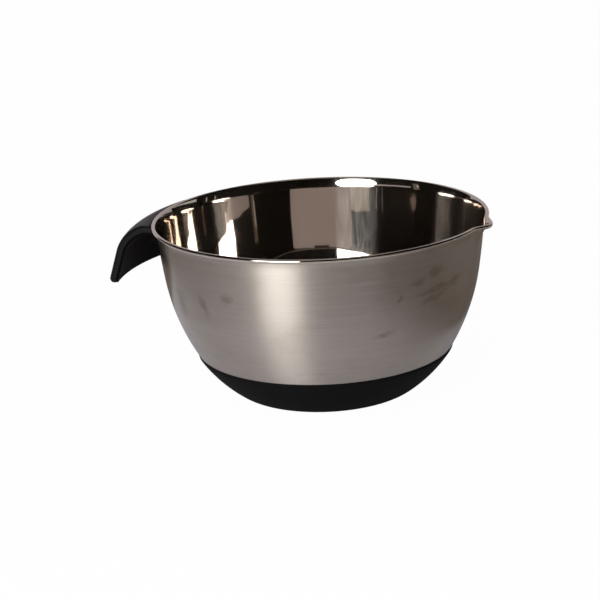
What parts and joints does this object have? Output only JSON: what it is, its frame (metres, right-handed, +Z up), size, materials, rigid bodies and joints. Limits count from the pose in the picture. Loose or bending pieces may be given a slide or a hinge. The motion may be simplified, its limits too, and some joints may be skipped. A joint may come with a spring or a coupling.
{
  "type": "mixing bowl",
  "caption": "Round stainless steel mixing bowl with a rolled rim, a small pouring spout, a wide hooked side handle and a silicone foot pad.",
  "frame": {"origin": "middle of the flat face of the foot pad that the bowl stands on", "axes": "+Z up along the bowl's axis, +X towards the pouring spout, -X towards the handle, +Y completes the right-handed frame"},
  "size_m": [0.27, 0.2299, 0.122],
  "materials": {
    "stainless_sheet": "brushed outside, polished inside and on the rim",
    "silicone": "matte moulded",
    "frame_nylon": "fine moulded grain",
    "soft_grip": "smooth satin",
    "core_nylon": "smooth moulded",
    "bracket_steel": "plain bent sheet",
    "screw_steel": "bright"
  },
  "bodies": {
    "root": {"bowl_shell": "stainless_sheet", "base_pad": "silicone", "handle_frame": "frame_nylon", "handle_grip": "soft_grip", "handle_core": "core_nylon", "handle_bracket": "bracket_steel", "handle_screws": "screw_steel"}
  },
  "joints": []
}
